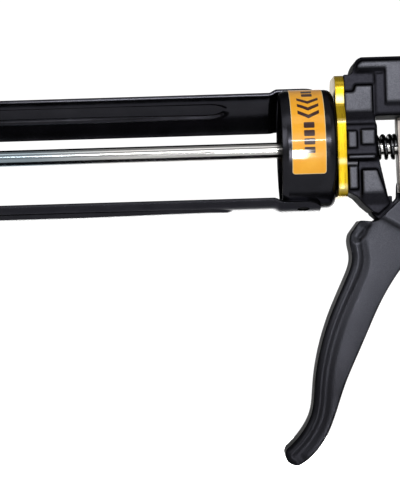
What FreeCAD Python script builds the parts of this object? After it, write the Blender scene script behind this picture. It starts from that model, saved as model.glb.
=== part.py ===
"""Caulking gun with a rotating open cradle, a round push rod and a die-cast frame.

Millimetres. +X runs along the rod towards the rear, +Z is up, and -Y is the gun's left side.
The origin is on the rod's axis, at the face in the retainer cup that the cartridge sits on.
"""

import FreeCAD, Part

import math
import os

from FreeCAD import Vector

UP = Vector(0, 0, 1)

# Clearances
RUN_GAP = 0.06
CUP_PLAY = 0.1
FACE_GAP = 0.3
FIT_GAP = 0.05
HOLE_GAP = 0.25
CUT_OVER = 1.0
PART_REACH = 130.0

# Cartridge and cradle
CARTRIDGE_LENGTH = 215.0
CARTRIDGE_END_ROOM = 5.0
CUP_R = 29.4
CUP_WALL = 1.5
CUP_DEPTH = 25.1
CUP_CORNER_R = 4.0
CUP_LIP = 0.9
CUP_LIP_LENGTH = 2.0
RAIL_INSET = 0.0
RAIL_WALL = 1.6
RAIL_HALF_ANGLE = 31.0
RAIL_TOP_ANGLE = 52.5
RAIL_SPREAD = 142.5
RAIL_TAB_LENGTH = 19.0
RAIL_JOGGLE = 4.0
BEAD_WIDTH = 12.5
BEAD_HEIGHT = 1.7
BEAD_END_ROOM = 22.0
FRONT_WALL = 2.0
FRONT_RIM = 14.0
NOZZLE_SLOT_R = 10.0
RIVET_HOLE_R = 3.0
RIVET_SHANK_R = 2.0
RIVET_RECESS = 0.5
RIVET_HEAD_R = 3.4
RIVET_HEAD = 1.0
RIVET_SETBACK = 8.5
RIVET_HALF_SPREAD = 16.0
LABEL_LENGTH = 16.4
LABEL_EDGE_ROOM = 1.6
LABEL_LIFT = 0.01
LABEL_THICKNESS = 0.24
LABEL_LOW_ANGLE = 207.0
LABEL_HIGH_ANGLE = 85.0

# Rod and piston
ROD_R = 4.0
ROD_FRONT_ROOM = 6.0
ROD_TAIL = 118.0
HOOK_BEND_R = 12.0
HOOK_DROP = 42.0
PISTON_R = 23.0
PISTON_WALL = 1.6
PISTON_RIM = 5.0
BACKING_R = 14.0
BACKING_WALL = 2.0
PISTON_NUT_ACROSS_R = 7.5
PISTON_NUT_HEIGHT = 5.0
PISTON_NUT_GAP = 0.3

# Neck, washer, face plate and nut that hold the cradle
NECK_R = 11.0
WASHER_R = 20.0
WASHER_WALL = 0.4
PLATE_WALL = 4.5
PLATE_HALF = 22.0
PLATE_LOW = -24.6
PLATE_SHOULDER = 12.5
PLATE_TAB_FOOT = 20.5
PLATE_TAB_HALF = 16.5
PLATE_TAB_TOP = 35.2
PLATE_TAB_CORNER_R = 7.0
PLATE_CORNER_R = 5.0
PLATE_SHOULDER_R = 4.0
RETAINING_NUT_R = 16.0
RETAINING_NUT_HEIGHT = 4.0
NECK_STAND = 0.3
NUT_NOTCH = 4.0
NUT_NOTCHES = 4
PLATE_SCREW_RADIUS = 17.0
PLATE_SCREW_R = 2.0
PLATE_SCREW_HEAD_R = 3.8
PLATE_SCREW_HEAD = 2.2
PLATE_SCREW_SINK = 0.2
PLATE_SCREW_SOCKET = 1.2
PLATE_SCREW_SOCKET_R = 1.6
PLATE_SCREW_LENGTH = 10.0
PLATE_SCREW_END_ROOM = 0.5
PLATE_SCREW_ANGLES = (0.0, 120.0, 240.0)

# Bushings and springs on the rod
BUSH_R = 7.0
FRONT_BUSH_LENGTH = 13.5
SPRING_POCKET_ROOM = 0.75
SPRING_SEAT_GAP = 0.1
DRIVE_SPRING_R = 5.8
DRIVE_SPRING_WIRE_R = 0.85
DRIVE_SPRING_TURNS = 5.0
RELEASE_SPRING_TURNS = 3.25
RELEASE_SPRING_ROOM = 7.0
RELEASE_SPRING_WIRE_R = 0.7

# Frame casting. Lengths and outlines run back from the frame's front face, as (x, z)
SIDE_BASE = 15.0
SIDE_STEP = 16.4
SIDE_TOP = 18.0
BRIDGE_TOP = 43.5
BRIDGE_BOTTOM = 14.7
BRIDGE_START = 13.5
COLUMN_BACK = 14.9
COLUMN_TOP = 12.7
BRIDGE_REAR_Z = 19.0
BRIDGE_SLOPE = 8.0
WINDOW_FRONT = 15.8
WINDOW_BOTTOM = -24.5
WINDOW_CORNERS = (-4.0, 9.8)
REAR_WALL = 12.0
REAR_WALL_ROOM = 71.5
REAR_WALL_LOW = -32.5
WEB_HALF = 9.5
WEB_FRONT = 12.5
WEB_BOTTOM = -42.0
WEB_REAR_BOTTOM = -46.0
WEB_SLOPE = 26.0
NOTCH_DEPTH = 3.5
NOTCH_LENGTH = 21.0
NOTCH_ROOM = 0.8
NOSE_OUTLINE = (
    (0.0, -22.3),
    (2.8, -23.5),
    (5.3, -25.0),
    (8.7, -29.0),
    (12.4, -32.2),
    (15.2, -33.3),
    (21.0, -28.5),
)
BROW_OUTLINE = (
    (8.6, BRIDGE_TOP),
    (6.7, 42.6),
    (5.8, 41.2),
    (5.0, 39.2),
    (4.3, 36.4),
    (3.0, PLATE_TAB_TOP),
    (0.0, PLATE_TAB_TOP),
)
HANDLE_CORNER_R = 9.0
HANDLE_SECTIONS = (
    (-20.0, 55.5, 96.5, 12.0),
    (-45.0, 53.5, 91.5, 13.5),
    (-75.0, 56.5, 90.5, 14.5),
    (-105.0, 61.5, 95.5, 14.5),
    (-135.0, 69.5, 103.5, 14.0),
    (-158.0, 77.5, 114.5, 13.5),
)

# Trigger. Its outlines are measured from its pivot, as (x, z)
TRIGGER_HALF = 14.0
TRIGGER_TIP_HALF = 11.0
TRIGGER_WALL = 3.4
TRIGGER_FRONT_WALL = 4.5
TRIGGER_SOLID_TIP = -105.0
TRIGGER_LOW = -128.3
TRIGGER_SWING = 26.0
PIVOT_BACK = 35.5
PIVOT_Z = -33.0
PIVOT_R = 3.0
PIVOT_HEAD_R = 5.0
PIVOT_HEAD = 3.0
PIVOT_SOCKET = 1.8
PIVOT_SOCKET_R = 2.1
PIVOT_NUT_R = 5.6
PIVOT_THREAD = 1.0
PUSH_PIN_R = 3.5
PUSH_ARM = 13.5
PUSH_BOSS_WALL = 1.7
ARMS_ROOM_LOW = -9.0
ARMS_ROOM_BACK = -22.0
TRIGGER_FRONT = (
    (-33.7, -9.4),
    (-34.5, -14.0),
    (-33.5, -20.5),
    (-36.5, -31.3),
    (-43.4, -46.1),
    (-49.3, -62.3),
    (-53.8, -85.0),
    (-55.8, -98.3),
    (-60.9, -107.5),
    (-68.2, -115.0),
)
TRIGGER_TIP_MIDDLE = (-67.4, -121.8)
TRIGGER_BACK = (
    (-61.3, -122.5),
    (-53.0, -115.4),
    (-46.9, -105.6),
    (-39.6, -85.9),
    (-29.7, -63.8),
    (-19.9, -43.1),
    (-10.0, -27.8),
    (-1.0, -18.0),
)
TRIGGER_HEEL = (
    (7.0, -8.0),
    (8.5, 0.0),
    (5.0, 8.0),
)
TRIGGER_NOSE = (
    (-8.4, 7.6),
    (-20.3, -3.2),
    (-22.5, -3.9),
    (-28.9, -3.2),
)

# Drive plates
DRIVE_PLATE_BACK = 26.9
DRIVE_PLATE_WALL = 1.9
DRIVE_PLATE_ROOM = 0.5
DRIVE_PLATE_TAIL = -22.8
DRIVE_PLATE_HALF = 6.0
DRIVE_TAIL_HALF = 3.0
GRIP_PLATE_BOTTOM = -8.5
GRIP_PLATE_DROP = 0.6
PLATE_STACK_GAP = 0.1

# Release lever
LEVER_WALL = 3.0
LEVER_HALF = 7.5
LEVER_TOP = 31.0
LEVER_TAB_LENGTH = 18.0
LEVER_TAB_RISE = 5.0
LEVER_BEND = 2.5
LEVER_BEND_INSIDE = 1.2
LEVER_SLOT_EXTRA = 0.8
LEVER_PIN_Z = -16.0
LEVER_PIN_R = 2.0
LEVER_CURL_R = 4.0
LEVER_CURL_ROOM = 1.5
EAR_WALL = 3.0
EAR_R = 5.5

# Places that follow from the sizes above
CUP_REAR_X = CUP_WALL
WASHER_X = CUP_REAR_X + CUP_PLAY
PLATE_X = WASHER_X + WASHER_WALL
FRAME_X = PLATE_X + PLATE_WALL
RAIL_R = CUP_R - RAIL_INSET
RETAINING_NUT_X = -CUP_PLAY - RETAINING_NUT_HEIGHT
NECK_FRONT_X = RETAINING_NUT_X - NECK_STAND
FRONT_PLATE_X = -CARTRIDGE_LENGTH - CARTRIDGE_END_ROOM
RAIL_FRONT_X = FRONT_PLATE_X - FRONT_WALL
RAIL_INNER_R = RAIL_R - RAIL_WALL
TAB_INNER_R = CUP_R + FIT_GAP
TAB_OUTER_R = TAB_INNER_R + RAIL_WALL
TAB_REAR_X = -CUP_DEPTH + RAIL_TAB_LENGTH
RIVET_X = TAB_REAR_X - RIVET_SETBACK
FRONT_RIVET_X = RAIL_FRONT_X + FRONT_RIM / 2.0
RAIL_ANGLES = (RAIL_TOP_ANGLE, RAIL_TOP_ANGLE - RAIL_SPREAD)
RIVET_ANGLES = [rail + side for rail in RAIL_ANGLES for side in (-RIVET_HALF_SPREAD, RIVET_HALF_SPREAD)]
OPEN_ANGLE = RAIL_TOP_ANGLE - RAIL_SPREAD / 2.0 + 180.0
ROD_FRONT_X = FRONT_PLATE_X + ROD_FRONT_ROOM
BORE_R = ROD_R + RUN_GAP
WINDOW_X = FRAME_X + WINDOW_FRONT
REAR_WALL_X = FRAME_X + REAR_WALL_ROOM
REAR_WALL_END = REAR_WALL_X + REAR_WALL
LEVER_X = REAR_WALL_END + RELEASE_SPRING_ROOM
LEVER_MIDDLE_X = LEVER_X + LEVER_WALL / 2.0
PIVOT_X = FRAME_X + PIVOT_BACK
DRIVE_PLATE_X = FRAME_X + DRIVE_PLATE_BACK
FRONT_BUSH_END = NECK_FRONT_X + FRONT_BUSH_LENGTH
DRIVE_PLATE_TOP = BRIDGE_BOTTOM - DRIVE_PLATE_ROOM
GRIP_PLATE_X = DRIVE_PLATE_X + DRIVE_PLATE_WALL + PLATE_STACK_GAP
PUSH_PIN_X = DRIVE_PLATE_X + DRIVE_PLATE_WALL + FACE_GAP + PUSH_PIN_R
PUSH_PIN_Z = PIVOT_Z + PUSH_ARM
TRIGGER_INNER_HALF = TRIGGER_HALF - TRIGGER_WALL
SPRING_POCKET_R = DRIVE_SPRING_R + DRIVE_SPRING_WIRE_R + SPRING_POCKET_ROOM
PISTON_X = ROD_FRONT_X + PISTON_NUT_GAP + PISTON_NUT_HEIGHT + FACE_GAP
BACKING_X = PISTON_X + PISTON_WALL + FIT_GAP

# Raised panels on the frame's sides: (x back from its front face, z) at the foot and at the top
FRAME_DEPTH = REAR_WALL_END - FRAME_X
TILE_SLOPE = 0.6
SIDE_PANELS = (
    (
        [
            (14.7, 14.9),
            (FRAME_DEPTH - 0.2, 14.9),
            (FRAME_DEPTH - 0.2, 18.0),
            (FRAME_DEPTH - 5.5, 35.8),
            (14.7, 35.8),
        ],
        [
            (15.3, 15.6),
            (FRAME_DEPTH - 0.8, 15.6),
            (FRAME_DEPTH - 0.8, 18.0),
            (FRAME_DEPTH - 6.2, 35.2),
            (15.3, 35.2),
        ],
        SIDE_STEP,
    ),
    (
        [
            (5.2, 35.4),
            (19.1, 35.4),
            (19.1, 16.9),
            (FRAME_DEPTH - 1.0, 16.9),
            (FRAME_DEPTH - 1.0, 19.0),
            (FRAME_DEPTH - 8.5, 42.6),
            (8.6, 42.6),
            (6.0, 40.6),
        ],
        [
            (6.7, 38.4),
            (20.5, 38.4),
            (20.5, 21.8),
            (FRAME_DEPTH - 3.2, 21.8),
            (FRAME_DEPTH - 3.2, 22.5),
            (FRAME_DEPTH - 9.8, 40.9),
            (9.0, 40.9),
            (7.2, 39.6),
        ],
        SIDE_TOP,
    ),
    (
        [(0.0, 12.7), (14.3, 12.7), (14.3, 30.2), (4.9, 30.2), (3.8, 27.2), (0.0, 27.2)],
        [(0.0, 17.4), (13.2, 17.4), (13.2, 29.2), (5.8, 29.2), (4.9, 26.2), (0.0, 26.2)],
        SIDE_TOP,
    ),
    (
        [(7.2, -26.9), (9.0, -28.9), (20.1, -28.9), (19.9, -23.6), (15.3, -11.2), (7.2, -11.2)],
        [(7.8, -22.1), (8.4, -22.1), (17.8, -22.1), (17.6, -21.6), (14.6, -11.9), (7.8, -11.9)],
        SIDE_TOP,
    ),
    (
        [(0.0, -7.4), (15.4, -7.4), (15.4, 9.6), (14.9, 11.0), (0.0, 11.0)],
        [(0.0, -6.8), (14.9, -6.8), (14.9, 9.4), (14.4, 10.2), (0.0, 10.2)],
        SIDE_STEP,
    ),
)

# Small raised tiles on the frame's sides: first and last x, lowest and highest z
SIDE_TILES = (
    (0.5, 5.9, -1.2, 7.8),
    (7.2, 14.7, 0.2, 8.4),
    (0.5, 14.7, -6.6, -3.9),
    (0.5, 5.9, -21.3, -9.3),
)


def ring_x(outer_r, inner_r, x0, x1, y=0.0, z=0.0):
    """A tube along X, or a plain round bar where inner_r is 0."""
    axis = Vector(1, 0, 0)
    bar = Part.makeCylinder(outer_r, x1 - x0, Vector(x0, y, z), axis)
    if inner_r <= 0:
        return bar
    return bar.cut(ring_x(inner_r, 0, x0 - CUT_OVER, x1 + CUT_OVER, y, z))


def placed(outline, x, z=0.0):
    """An outline of (x, z) points moved to where it starts."""
    return [(x + px, z + pz) for px, pz in outline]


def bar_y(radius, y0, y1, x, z):
    """A round bar along Y."""
    return Part.makeCylinder(radius, y1 - y0, Vector(x, y0, z), Vector(0, 1, 0))


def wire_xz(points, y=0.0):
    """A closed wire of straight lines through (x, z) points at one y."""
    corners = [Vector(x, y, z) for x, z in points]
    return Part.makePolygon(corners + corners[:1])


def prism_y(points, half_width):
    """A plate of the given (x, z) outline, as far to each side of the middle plane."""
    face = Part.Face(wire_xz(points, -half_width))
    return face.extrude(Vector(0, 2.0 * half_width, 0))


def pads(base, top, base_half, top_half):
    """A raised pad with sloping edges on each side of the frame, from two (x, z) outlines."""
    left = Part.makeLoft([wire_xz(base, -base_half), wire_xz(top, -top_half)], True, True)
    right = Part.makeLoft([wire_xz(base, base_half), wire_xz(top, top_half)], True, True)
    return [left, right]


def turned_sector(profile, middle_angle, half_angle):
    """An (x, radius) outline turned about the X axis, over half_angle to each side of an angle."""
    start = math.radians(middle_angle - half_angle)
    corners = [Vector(x, r * math.cos(start), r * math.sin(start)) for x, r in profile]
    face = Part.Face(Part.makePolygon(corners + corners[:1]))
    return face.revolve(Vector(0, 0, 0), Vector(1, 0, 0), 2.0 * half_angle)


def turned(profile):
    """An (x, radius) outline turned all the way about the X axis."""
    corners = [Vector(x, 0, r) for x, r in profile]
    face = Part.Face(Part.makePolygon(corners + corners[:1]))
    return face.revolve(Vector(0, 0, 0), Vector(1, 0, 0), 360.0)


def band(inner_r, outer_r, x0, x1, middle_angle, half_angle):
    """A curved strip of a tube's wall."""
    profile = [(x0, inner_r), (x1, inner_r), (x1, outer_r), (x0, outer_r)]
    return turned_sector(profile, middle_angle, half_angle)


def radial_bar(radius, r0, r1, x, angle):
    """A round bar that points away from the X axis at an angle."""
    way = Vector(0, math.cos(math.radians(angle)), math.sin(math.radians(angle)))
    return Part.makeCylinder(radius, r1 - r0, Vector(x, 0, 0) + way * r0, way)


def coil_x(mean_r, wire_r, x0, x1, turns):
    """An open coil spring about the X axis, from x0 to x1 over its wire."""
    length = x1 - x0 - 2.0 * wire_r
    path = Part.makeHelix(length / turns, length, mean_r)
    start = Part.Wire(Part.makeCircle(wire_r, Vector(mean_r, 0, 0), Vector(0, 1, 0)))
    spring = Part.Wire(path).makePipeShell([start], True, True)
    spring.rotate(Vector(0, 0, 0), Vector(0, 1, 0), 90)
    spring.translate(Vector(x0 + wire_r, 0, 0))
    return spring


def rounded_outline(corners, radii):
    """A closed wire through corner points, with an arc of its own radius at each corner."""
    ends = []
    for index, (corner, radius) in enumerate(zip(corners, radii)):
        before = (corners[index - 1] - corner).normalize()
        after = (corners[(index + 1) % len(corners)] - corner).normalize()
        half_turn = before.getAngle(after) / 2.0
        reach = radius / math.tan(half_turn)
        inward = (before + after).normalize()
        middle = corner + inward * (radius / math.sin(half_turn) - radius)
        ends.append((corner + before * reach, middle, corner + after * reach))
    edges = []
    for index, (start, middle, end) in enumerate(ends):
        edges.append(Part.Arc(start, middle, end).toShape())
        following = ends[(index + 1) % len(ends)][0]
        edges.append(Part.LineSegment(end, following).toShape())
    return Part.Wire(edges)


def fuse(first, others):
    """One solid from several that touch."""
    whole = first
    for other in others:
        whole = whole.fuse(other)
    return whole.removeSplitter()


def wall_hole(radius, wall_r, x, angle):
    """A cutter for a hole through a round wall at an angle."""
    reach = RAIL_WALL + BEAD_HEIGHT + CUT_OVER
    return radial_bar(radius, wall_r - reach, wall_r + reach, x, angle)


def make_cradle_cup():
    """The deep-drawn retainer cup, with the hole that turns on the frame's neck."""
    mouth = -CUP_DEPTH
    corner = CUP_CORNER_R
    profile = [
        (mouth, CUP_R - CUP_LIP),
        (mouth + CUP_LIP_LENGTH, CUP_R),
        (CUP_REAR_X, CUP_R),
        (CUP_REAR_X, NECK_R + RUN_GAP),
        (0.0, NECK_R + RUN_GAP),
        (0.0, CUP_R - corner),
        (-(corner - CUP_WALL), CUP_R - CUP_WALL),
        (mouth + CUP_LIP_LENGTH, CUP_R - CUP_WALL),
        (mouth, CUP_R - CUP_LIP - CUP_WALL),
    ]
    cup = turned(profile)
    rims = [
        edge
        for edge in cup.Edges
        if edge.BoundBox.XLength < FIT_GAP
        and abs(edge.BoundBox.XMax - CUP_REAR_X) < FIT_GAP
        and edge.BoundBox.ZMax > CUP_R - CUP_WALL
    ]
    cup = cup.makeFillet(corner, rims)
    for angle in RIVET_ANGLES:
        cup = cup.cut(wall_hole(RIVET_SHANK_R, CUP_R, RIVET_X, angle))
    return cup


def make_rail(angle):
    """A pressed rail: curved strip, stiffening bead, and a stepped tab that laps over the cup."""
    step_x = -CUP_DEPTH - RAIL_JOGGLE
    profile = [
        (RAIL_FRONT_X, RAIL_INNER_R),
        (step_x, RAIL_INNER_R),
        (-CUP_DEPTH - FIT_GAP, TAB_INNER_R),
        (TAB_REAR_X, TAB_INNER_R),
        (TAB_REAR_X, TAB_OUTER_R),
        (-CUP_DEPTH - FIT_GAP, TAB_OUTER_R),
        (step_x, RAIL_R),
        (RAIL_FRONT_X, RAIL_R),
    ]
    rail = turned_sector(profile, angle, RAIL_HALF_ANGLE)
    bead_half = math.degrees(BEAD_WIDTH / 2.0 / RAIL_R)
    groove_half = math.degrees((BEAD_WIDTH / 2.0 - RAIL_WALL) / RAIL_R)
    x0 = RAIL_FRONT_X + BEAD_END_ROOM
    x1 = -CUP_DEPTH - BEAD_END_ROOM
    bead = band(RAIL_R - RAIL_WALL / 2.0, RAIL_R + BEAD_HEIGHT, x0, x1, angle, bead_half)
    groove_x = (x0 + RAIL_WALL, x1 - RAIL_WALL)
    groove_r = (RAIL_INNER_R - CUT_OVER, RAIL_INNER_R + BEAD_HEIGHT)
    groove = band(groove_r[0], groove_r[1], groove_x[0], groove_x[1], angle, groove_half)
    rail = fuse(rail, [bead]).cut(groove)
    for hole_angle in (angle - RIVET_HALF_SPREAD, angle + RIVET_HALF_SPREAD):
        rail = rail.cut(wall_hole(RIVET_HOLE_R, TAB_INNER_R, RIVET_X, hole_angle))
    return rail.cut(wall_hole(RIVET_SHANK_R, RAIL_INNER_R, FRONT_RIVET_X, angle))


def make_cup_rivets():
    """Two sunk rivets through each rail tab and the cup's wall."""
    rivets = []
    head_face = CUP_R - CUP_WALL - HOLE_GAP
    outer_face = TAB_OUTER_R - RIVET_RECESS
    for angle in RIVET_ANGLES:
        plug = radial_bar(RIVET_HOLE_R - FIT_GAP, CUP_R + FIT_GAP, outer_face, RIVET_X, angle)
        shank = radial_bar(RIVET_SHANK_R - FIT_GAP, head_face - RIVET_HEAD, outer_face, RIVET_X, angle)
        head = radial_bar(RIVET_HEAD_R, head_face - RIVET_HEAD, head_face, RIVET_X, angle)
        rivets.append(fuse(plug, [shank, head]))
    return Part.makeCompound(rivets)


def make_front_plate():
    """The dished front plate between the rails, with the open slot for the nozzle."""
    outer_r = RAIL_INNER_R - FIT_GAP
    disc = ring_x(outer_r, 0, RAIL_FRONT_X, FRONT_PLATE_X)
    rim = ring_x(outer_r, outer_r - RAIL_WALL, RAIL_FRONT_X, RAIL_FRONT_X + FRONT_RIM)
    plate = fuse(disc, [rim])
    plate = plate.cut(ring_x(NOZZLE_SLOT_R, 0, RAIL_FRONT_X - CUT_OVER, FRONT_PLATE_X + CUT_OVER))
    slot = Part.makeBox(
        FRONT_RIM + 2.0 * CUT_OVER,
        CUP_R * 2.0,
        NOZZLE_SLOT_R * 2.0,
        Vector(RAIL_FRONT_X - CUT_OVER, 0, -NOZZLE_SLOT_R),
    )
    slot.rotate(Vector(0, 0, 0), Vector(1, 0, 0), OPEN_ANGLE)
    plate = plate.cut(slot)
    for angle in RAIL_ANGLES:
        plate = plate.cut(wall_hole(RIVET_SHANK_R, outer_r, FRONT_RIVET_X, angle))
    return plate


def make_front_rivets():
    """One round-headed rivet through each rail's front end and the front plate's rim."""
    rivets = []
    x = FRONT_RIVET_X
    outer_face = RAIL_R + FIT_GAP
    inner_face = RAIL_INNER_R - FIT_GAP - RAIL_WALL - 2.0 * HOLE_GAP
    for angle in RAIL_ANGLES:
        shank_r = RIVET_SHANK_R - FIT_GAP
        shank = radial_bar(shank_r, inner_face - RIVET_HEAD, outer_face + RIVET_HEAD, x, angle)
        outer = radial_bar(RIVET_HOLE_R, outer_face + FIT_GAP, outer_face + RIVET_HEAD, x, angle)
        inner = radial_bar(RIVET_HEAD_R, inner_face - RIVET_HEAD, inner_face, x, angle)
        rivets.append(fuse(shank, [outer, inner]))
    return Part.makeCompound(rivets)


def make_cup_label():
    """The sticker around the cup's left side and top."""
    x1 = CUP_REAR_X - CUP_CORNER_R - LABEL_EDGE_ROOM
    middle = (LABEL_LOW_ANGLE + LABEL_HIGH_ANGLE) / 2.0
    half = (LABEL_LOW_ANGLE - LABEL_HIGH_ANGLE) / 2.0
    inner_r = CUP_R + LABEL_LIFT
    return band(inner_r, inner_r + LABEL_THICKNESS, x1 - LABEL_LENGTH, x1, middle, half)


def make_friction_washer():
    return ring_x(WASHER_R, NECK_R + HOLE_GAP, WASHER_X, PLATE_X)


def make_face_plate():
    """The coloured plate between the cup and the frame, with a narrower tab above it."""
    half_outline = (
        (PLATE_TAB_HALF, PLATE_TAB_TOP, PLATE_TAB_CORNER_R),
        (PLATE_TAB_HALF, PLATE_TAB_FOOT, PLATE_SHOULDER_R),
        (PLATE_HALF, PLATE_SHOULDER, PLATE_SHOULDER_R),
        (PLATE_HALF, PLATE_LOW, PLATE_CORNER_R),
    )
    right = [(Vector(PLATE_X, y, z), r) for y, z, r in half_outline]
    left = [(Vector(PLATE_X, -y, z), r) for y, z, r in reversed(half_outline)]
    corners = [point for point, radius in right + left]
    radii = [radius for point, radius in right + left]
    plate = Part.Face(rounded_outline(corners, radii)).extrude(Vector(PLATE_WALL, 0, 0))
    plate = plate.cut(ring_x(NECK_R + HOLE_GAP, 0, PLATE_X - CUT_OVER, FRAME_X + CUT_OVER))
    for y, z in plate_screw_places():
        hole = ring_x(PLATE_SCREW_R + HOLE_GAP, 0, PLATE_X - CUT_OVER, FRAME_X + CUT_OVER, y, z)
        sink = ring_x(PLATE_SCREW_HEAD_R + HOLE_GAP, 0, PLATE_X - CUT_OVER, PLATE_X + PLATE_SCREW_HEAD, y, z)
        plate = plate.cut(hole).cut(sink)
    return plate


def plate_screw_places():
    """Centres of the face plate's screws, as (y, z)."""
    places = []
    for angle in PLATE_SCREW_ANGLES:
        turn = math.radians(angle + 90.0)
        places.append((PLATE_SCREW_RADIUS * math.cos(turn), PLATE_SCREW_RADIUS * math.sin(turn)))
    return places


def make_plate_screws():
    screws = []
    head_face = PLATE_X + PLATE_SCREW_SINK
    for y, z in plate_screw_places():
        shank = ring_x(PLATE_SCREW_R, 0, head_face, PLATE_X + PLATE_SCREW_LENGTH, y, z)
        head = ring_x(PLATE_SCREW_HEAD_R, 0, head_face, PLATE_X + PLATE_SCREW_HEAD, y, z)
        socket_end = head_face + PLATE_SCREW_SOCKET
        socket = ring_x(PLATE_SCREW_SOCKET_R, 0, head_face - CUT_OVER, socket_end, y, z)
        screws.append(fuse(shank, [head]).cut(socket))
    return Part.makeCompound(screws)


def make_retaining_nut():
    """The slotted ring nut inside the cup that keeps the cup on the neck."""
    nut = ring_x(RETAINING_NUT_R, NECK_R, RETAINING_NUT_X, -CUP_PLAY)
    for index in range(NUT_NOTCHES):
        angle = 45.0 + index * 360.0 / NUT_NOTCHES
        notch = Part.makeBox(
            RETAINING_NUT_HEIGHT + 2.0 * CUT_OVER,
            NUT_NOTCH,
            NUT_NOTCH,
            Vector(RETAINING_NUT_X - CUT_OVER, RETAINING_NUT_R - NUT_NOTCH / 2.0, -NUT_NOTCH / 2.0),
        )
        notch.rotate(Vector(0, 0, 0), Vector(1, 0, 0), angle)
        nut = nut.cut(notch)
    return nut


def make_front_bushing():
    return ring_x(BUSH_R, BORE_R, NECK_FRONT_X, FRONT_BUSH_END)


def make_rear_bushing():
    return ring_x(BUSH_R, BORE_R, REAR_WALL_X, REAR_WALL_END)


def handle_section(z, front_x, back_x, half_width):
    """A level rounded rectangle across the handle."""
    r = HANDLE_CORNER_R
    p = [
        Vector(front_x + r, -half_width, z),
        Vector(back_x - r, -half_width, z),
        Vector(back_x, -half_width + r, z),
        Vector(back_x, half_width - r, z),
        Vector(back_x - r, half_width, z),
        Vector(front_x + r, half_width, z),
        Vector(front_x, half_width - r, z),
        Vector(front_x, -half_width + r, z),
    ]
    centres = [
        Vector(back_x - r, -half_width + r, z),
        Vector(back_x - r, half_width - r, z),
        Vector(front_x + r, half_width - r, z),
        Vector(front_x + r, -half_width + r, z),
    ]
    corner_signs = [(1, -1), (1, 1), (-1, 1), (-1, -1)]
    edges = []
    for index in range(4):
        start = p[2 * index]
        end = p[2 * index + 1]
        after = p[(2 * index + 2) % 8]
        sign_x, sign_y = corner_signs[index]
        reach = r * math.sqrt(0.5)
        middle = centres[index] + Vector(sign_x * reach, sign_y * reach, 0)
        edges.append(Part.LineSegment(start, end).toShape())
        edges.append(Part.Arc(end, middle, after).toShape())
    return Part.Wire(edges)


def make_handle():
    wires = [
        handle_section(z, FRAME_X + front, FRAME_X + back, half)
        for z, front, back, half in HANDLE_SECTIONS
    ]
    return Part.makeLoft(wires, True, False)


def push_pin_swung():
    """Where the push pin's centre comes with the trigger squeezed, as (x, z)."""
    turn = math.radians(TRIGGER_SWING)
    x = (PUSH_PIN_X - PIVOT_X) * math.cos(turn) - PUSH_ARM * math.sin(turn)
    z = (PUSH_PIN_X - PIVOT_X) * -math.sin(turn) + PUSH_ARM * math.cos(turn)
    return PIVOT_X + x, PIVOT_Z + z


def make_frame_core():
    """The plain block of the frame: front wall and nose, bridge, rear wall and web."""
    front = placed(NOSE_OUTLINE, FRAME_X)
    front += [(front[-1][0] - CUT_OVER, WINDOW_BOTTOM)]
    front += [(WINDOW_X, z) for z in WINDOW_CORNERS]
    front += [(FRAME_X + COLUMN_BACK, COLUMN_TOP), (FRAME_X + COLUMN_BACK, BRIDGE_TOP)]
    front += placed(BROW_OUTLINE, FRAME_X)
    bridge = [
        (FRAME_X + BRIDGE_START, BRIDGE_BOTTOM),
        (REAR_WALL_END, BRIDGE_BOTTOM),
        (REAR_WALL_END, BRIDGE_REAR_Z),
        (REAR_WALL_END - BRIDGE_SLOPE, BRIDGE_TOP),
        (FRAME_X + BRIDGE_START, BRIDGE_TOP),
    ]
    rear = [
        (REAR_WALL_X, REAR_WALL_LOW),
        (REAR_WALL_END, REAR_WALL_LOW),
        (REAR_WALL_END, BRIDGE_REAR_Z),
        (REAR_WALL_X, BRIDGE_REAR_Z),
    ]
    pin_x = push_pin_swung()[0]
    notch_x = pin_x - PUSH_PIN_R - NOTCH_ROOM
    notch_z = WINDOW_BOTTOM - NOTCH_DEPTH
    web = [
        (FRAME_X + WEB_FRONT, NOSE_OUTLINE[-2][1]),
        (FRAME_X + NOSE_OUTLINE[-1][0], WINDOW_BOTTOM),
        (notch_x, WINDOW_BOTTOM),
        (notch_x, notch_z),
        (notch_x + NOTCH_LENGTH, notch_z),
        (notch_x + NOTCH_LENGTH, WINDOW_BOTTOM),
        (REAR_WALL_X + CUT_OVER, WINDOW_BOTTOM),
        (REAR_WALL_X + CUT_OVER, WEB_REAR_BOTTOM),
        (notch_x + WEB_SLOPE, WEB_REAR_BOTTOM),
        (notch_x, WEB_BOTTOM),
    ]
    core = prism_y(front, SIDE_BASE)
    others = [prism_y(bridge, SIDE_BASE), prism_y(rear, SIDE_BASE), prism_y(web, WEB_HALF)]
    return fuse(core, others)


def frame_pads():
    """The raised panels and tiles on the frame's sides."""
    shapes = []
    for base, top, level in SIDE_PANELS:
        shapes += pads(placed(base, FRAME_X), placed(top, FRAME_X), SIDE_BASE, level)
    for x0, x1, z0, z1 in SIDE_TILES:
        shapes += rectangle_pads(FRAME_X + x0, FRAME_X + x1, z0, z1, TILE_SLOPE)
    return shapes


def rectangle_pads(x0, x1, z0, z1, edge):
    """A raised rectangle on each side of the frame, with an even sloping edge."""
    base = [(x0, z0), (x1, z0), (x1, z1), (x0, z1)]
    inner = (x0 + edge, x1 - edge, z0 + edge, z1 - edge)
    top = [(inner[0], inner[2]), (inner[1], inner[2]), (inner[1], inner[3]), (inner[0], inner[3])]
    return pads(base, top, SIDE_BASE, SIDE_TOP)


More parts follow.
